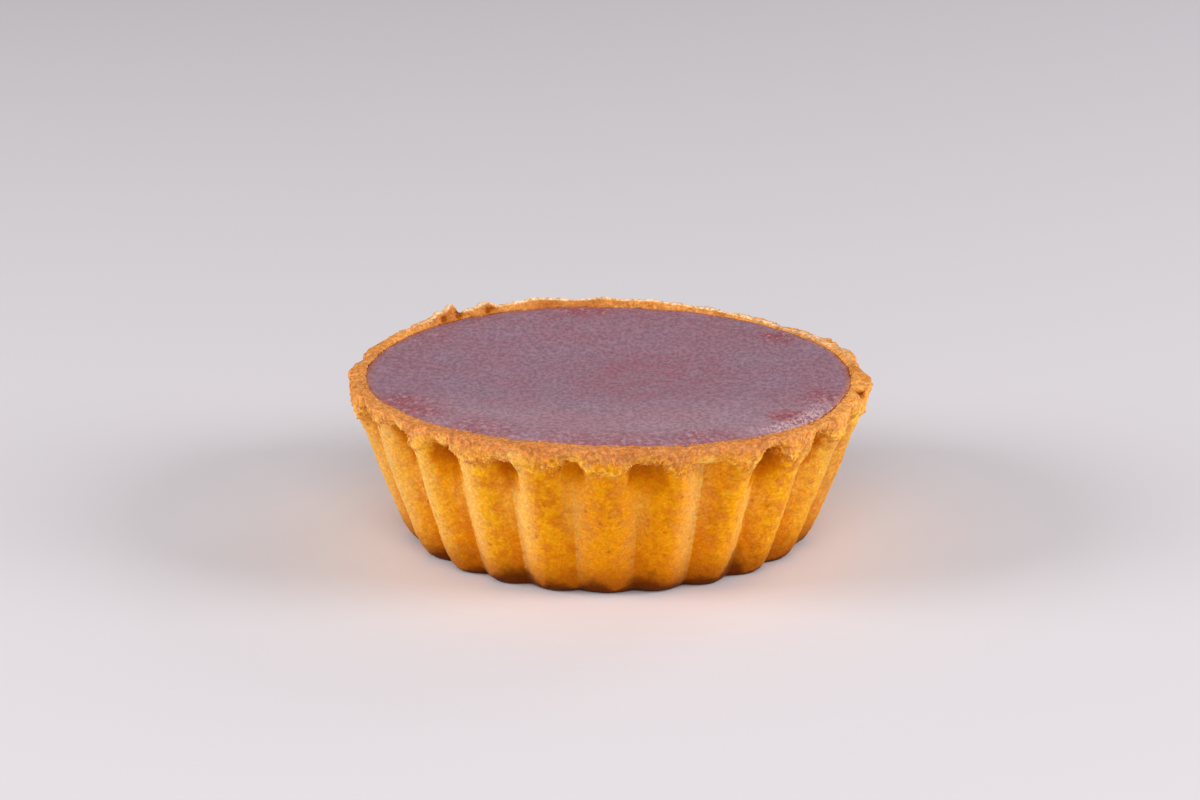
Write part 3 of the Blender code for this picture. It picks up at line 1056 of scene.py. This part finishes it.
def custard_material():
    material, shader, where = start_material("ube_custard_skin")
    across, along = split(scaled(where, 1.0 / MM))[:2]
    flat = node("ShaderNodeCombineXYZ", {0: across, 1: along})
    from_middle = node("ShaderNodeVectorMath", {0: flat}, "Value", operation="LENGTH")
    broad = speckle(where, 90.0, 3.0, 0.6)
    blotch = speckle(where, 420.0, 3.0, 0.6)
    fleck = speckle(where, 1150.0, 2.0, 0.6)
    drawn = squeezed(where, 0.6)
    fine = speckle(drawn, 1700.0, 3.0, 0.7)

    color = tint(ramp(broad, 0.35, 0.65), MAUVE, COOL_GREY)
    warm = calc("MAXIMUM", ramp(distance(flat, PINK_MIDDLE), 19.0, 4.0), ramp(along, 12.0, 26.0) * 0.55)
    color = tint(warm * ramp(blotch, 0.35, 0.60), color, WARM_PINK)

    # The front is painted paler, a painted sheen where it catches the light, and its edge baked red in
    # patches
    color = tint(ramp(along, -6.0, -22.0) * 0.14, color, PAINTED_SHEEN)
    rim = ramp(from_middle + (broad * 6.0 - 3.0), 26.5, 32.0)
    red = LEAST_RED
    for patch_across, patch_along, wide, strength in RED_PATCHES:
        near = ramp(distance(flat, (patch_across, patch_along, 0.0)), wide, 0.35 * wide)
        red = calc("MAXIMUM", red, near * strength)
    reddened = rim * ramp(red * 0.09 + (blotch * 0.45 + fleck * 0.55), 0.45, 0.60) * red
    color = tint(reddened, color, RED_EDGE)
    # Pale painted highlights fleck the red band
    fold_glints = ramp(speckle(drawn, 1300.0, 2.0, 0.6), 0.54, 0.66)
    color = tint(rim * red * fold_glints * 0.45, color, PAINTED_SHEEN)
    # Painted bounce light: the custard's outer edge is tinted brown-orange, as if lit by the crust, which
    # lightens the shadowed seam; stronger at the right
    at_right = ramp(across, 26.0, 34.0)
    seam = ramp(at_right * 0.3 + from_middle, 34.2, 35.2)
    color = tint(seam * (at_right * 0.20 + 0.45), color, PAINTED_CRUST_BOUNCE)

    # A narrow damp band hugs the edge at the front right: glossier, with painted highlights on its folds
    band = ramp(blotch * 4.0 + from_middle, 33.2, 35.4)
    damp_gloss_and_painted_glint = ramp(distance(flat, DAMP_PLACE), 12.0, 4.0) * band
    folds = calc("ABSOLUTE", speckle(squeezed(where, 0.42), 1500.0, 2.0, 0.6) - 0.5)
    color = tint(damp_gloss_and_painted_glint * ramp(folds, 0.11, 0.01) * 0.75, color, PAINTED_SHEEN)

    bumps = blotch * 0.4 + fine * 0.5 + fleck * (rim * 1.4 + 0.2)
    coat(
        shader,
        Base_Color=scaled(color, ramp(fine, 0.34, 0.66) * 0.46 + 0.77),
        Roughness=blotch * 0.20 + 0.50 - damp_gloss_and_painted_glint * 0.20,
        Normal=node("ShaderNodeBump", {"Strength": 0.6, "Distance": 0.18 * MM, "Height": bumps}),
        Specular_IOR_Level=0.28,
    )
    return material


custard.data.materials.append(custard_material())
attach(custard, "root")
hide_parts("ube_filling")
print("custard dressed")

# %% [markdown]
# ## Loose crumbs
#
# Shortcrust sheds crumbs, and most of them cling to the ragged lower edge of the lip. Geometry Nodes
# scatter them: points on the crust, thicker where the stored `edge` and `lip` values are high,
# and on each point a rough grain of twenty faces, turned and stretched at random with a fixed seed.

# %% Scatter the crumbs
CRUMBS_PER_SQUARE_METRE = 2.2e6
CRUMB_SIZE = 0.36
LIP_CRUMBS = 0.10
# Between these heights the crumbs begin to cling to the lip
LIP_BEGINS = (20.0, 21.0)
LEAST_STRETCH = (0.35, 0.3, 0.25)
MOST_STRETCH = (1.0, 0.8, 0.6)
FULL_TURN = (6.28, 6.28, 6.28)
CRUMB_SEED = 12
STRETCH_SEED = 5


def crumb_tree():
    inputs = {
        "Pastry": "Object",
        "Crumbs per Square Metre": "Float",
        "Largest": "Float",
        "Seed": "Int",
        "Crust": "Material",
    }
    tree, given = start_tree("loose_crumbs", inputs, "Crumbs")
    spot = source(tree, "GeometryNodeInputPosition")
    outside = ramp(split(spot)[2], *[height * MM for height in LIP_BEGINS])
    wanted = remembered(tree, "edge") + remembered(tree, "lip") * outside * LIP_CRUMBS
    wanted = wanted * ramp(speckle(spot, 260.0, 1.0), 0.42, 0.62)
    scatter = {
        "Mesh": node("GeometryNodeObjectInfo", {"Object": given["Pastry"]}, "Geometry"),
        "Density": wanted * given["Crumbs per Square Metre"],
        "Seed": given["Seed"],
    }
    turns = {"Min": (0.0, 0.0, 0.0), "Max": FULL_TURN, "Seed": given["Seed"]}
    stretches = {"Min": LEAST_STRETCH, "Max": MOST_STRETCH, "Seed": STRETCH_SEED}
    stretched = source(tree, "FunctionNodeRandomValue", stretches, data_type="FLOAT_VECTOR")
    crumbs = {
        "Points": node("GeometryNodeDistributePointsOnFaces", scatter, "Points"),
        "Instance": source(tree, "GeometryNodeMeshIcoSphere", {"Radius": 1.0, "Subdivisions": 1}, "Mesh"),
        "Rotation": node("FunctionNodeRandomValue", turns, data_type="FLOAT_VECTOR"),
        "Scale": scaled(stretched, given["Largest"]),
    }
    end_tree(tree, node("GeometryNodeInstanceOnPoints", crumbs), given["Crust"])
    return tree


def crumb_material():
    material, shader, where = start_material("toasted_crumb")
    tone = speckle(where, 900.0, 2.0, 0.6)
    color = tint(ramp(tone, 0.38, 0.62), SALMON_LIP, GOLDEN_LIP)
    coat(shader, Base_Color=color, Roughness=tone * 0.2 + 0.6, Specular_IOR_Level=0.25)
    return material


crumbs = run_tree(
    crumb_tree(),
    "loose_crumbs",
    {
        "Pastry": crust,
        "Crumbs per Square Metre": CRUMBS_PER_SQUARE_METRE,
        "Largest": CRUMB_SIZE * MM,
        "Seed": CRUMB_SEED,
        "Crust": crumb_material(),
    },
)
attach(crumbs, "root")
print("crumbs:", len(crumbs.data.polygons) // 20)

# %% [markdown]
# ## Floor, light and camera
#
# The tart stands on a plain pale floor. Two wide soft lamps, left and right of the camera, graze the ribs
# from both sides, and together with the painted highlight on the outward flanks they draw a light line
# down every flank. A third fills in from the front, and a weak fourth, from above and behind, puts a sheen
# on the custard. The camera looks down at about 18 degrees from half a metre away, with a long lens.

# %% Set the stage
LAMPS = (
    # name, place, size, power in watts and colour
    ("left_lamp", (-0.84, -0.18, 0.40), 0.50, 5.8, (1.0, 0.98, 0.95)),
    ("right_lamp", (0.84, -0.18, 0.40), 0.50, 5.8, (1.0, 0.98, 0.95)),
    ("front_lamp", (0.0, -0.74, 0.50), 0.60, 3.0, (1.0, 0.99, 0.97)),
    ("back_lamp", (0.55, 0.65, 0.42), 0.35, 0.8, (1.0, 1.0, 1.0)),
)
LAMPS_AIM = Vector((0.0, 0.0, 0.015))
FLOOR_SIZE = 3.0
FLOOR_LEVEL = -0.02
SKY = (0.92, 0.92, 0.95, 1.0)
SKY_STRENGTH = 0.26


def area_lamp(name, place, size, power, color):
    data = bpy.data.lights.new(name, "AREA")
    data.shape = "DISK"
    data.size = size
    data.energy = power
    data.color = color
    lamp = place_object(name, data)
    lamp.location = place
    lamp.rotation_euler = (LAMPS_AIM - Vector(place)).to_track_quat("-Z", "Y").to_euler()


def floor_piece():
    bm = bmesh.new()
    bmesh.ops.create_grid(bm, x_segments=1, y_segments=1, size=FLOOR_SIZE)
    mesh = bpy.data.meshes.new("floor")
    bm.to_mesh(mesh)
    bm.free()
    material, shader = start_material("pale_floor")[:2]
    coat(shader, Base_Color=paint(226, 222, 228), Roughness=0.8)
    mesh.materials.append(material)
    floor = place_object("floor", mesh)
    floor.location.z = FLOOR_LEVEL * MM


floor_piece()
for lamp in LAMPS:
    area_lamp(*lamp)
world = bpy.data.worlds.new("studio")
bpy.context.scene.world = world
world.use_nodes = True
coat(world.node_tree.nodes["Background"], Color=SKY, Strength=SKY_STRENGTH)
bpy.context.scene.view_settings.view_transform = "Standard"
bpy.context.scene.view_settings.look = "None"
print("stage set with", len(LAMPS), "lamps")

# %% [markdown]
# The camera is aimed at the middle of the tart and then turned a little, until the tart stands where it
# should in a picture of 1200 by 800.

# %% Place the camera
LOOKING_DOWN = math.radians(17.8)
CAMERA_AWAY = 0.550
AIM = Vector((0.0, 0.0, 0.0125))
LENS = 112.7
SENSOR_WIDTH = 36.0
PICTURE_WIDTH, PICTURE_HEIGHT = 1200, 800
TART_IN_PICTURE = (609.4, 447)

camera_data = bpy.data.cameras.new("camera")
camera = place_object("camera", camera_data)
camera_data.sensor_width = SENSOR_WIDTH
camera_data.lens = LENS
camera_data.clip_start = 0.01
back = Vector((0.0, -math.cos(LOOKING_DOWN), math.sin(LOOKING_DOWN)))
camera.location = AIM + back * CAMERA_AWAY
pixels_per_unit = LENS / SENSOR_WIDTH * PICTURE_WIDTH
aside = (TART_IN_PICTURE[0] - PICTURE_WIDTH / 2) / pixels_per_unit
below = (TART_IN_PICTURE[1] - PICTURE_HEIGHT / 2) / pixels_per_unit
right = Vector((1.0, 0.0, 0.0))
look = (-back - right * aside + right.cross(-back) * below).normalized()
camera.rotation_mode = "QUATERNION"
camera.rotation_quaternion = look.to_track_quat("-Z", "Y")
bpy.context.scene.camera = camera
print("camera at", [round(part, 3) for part in camera.location])
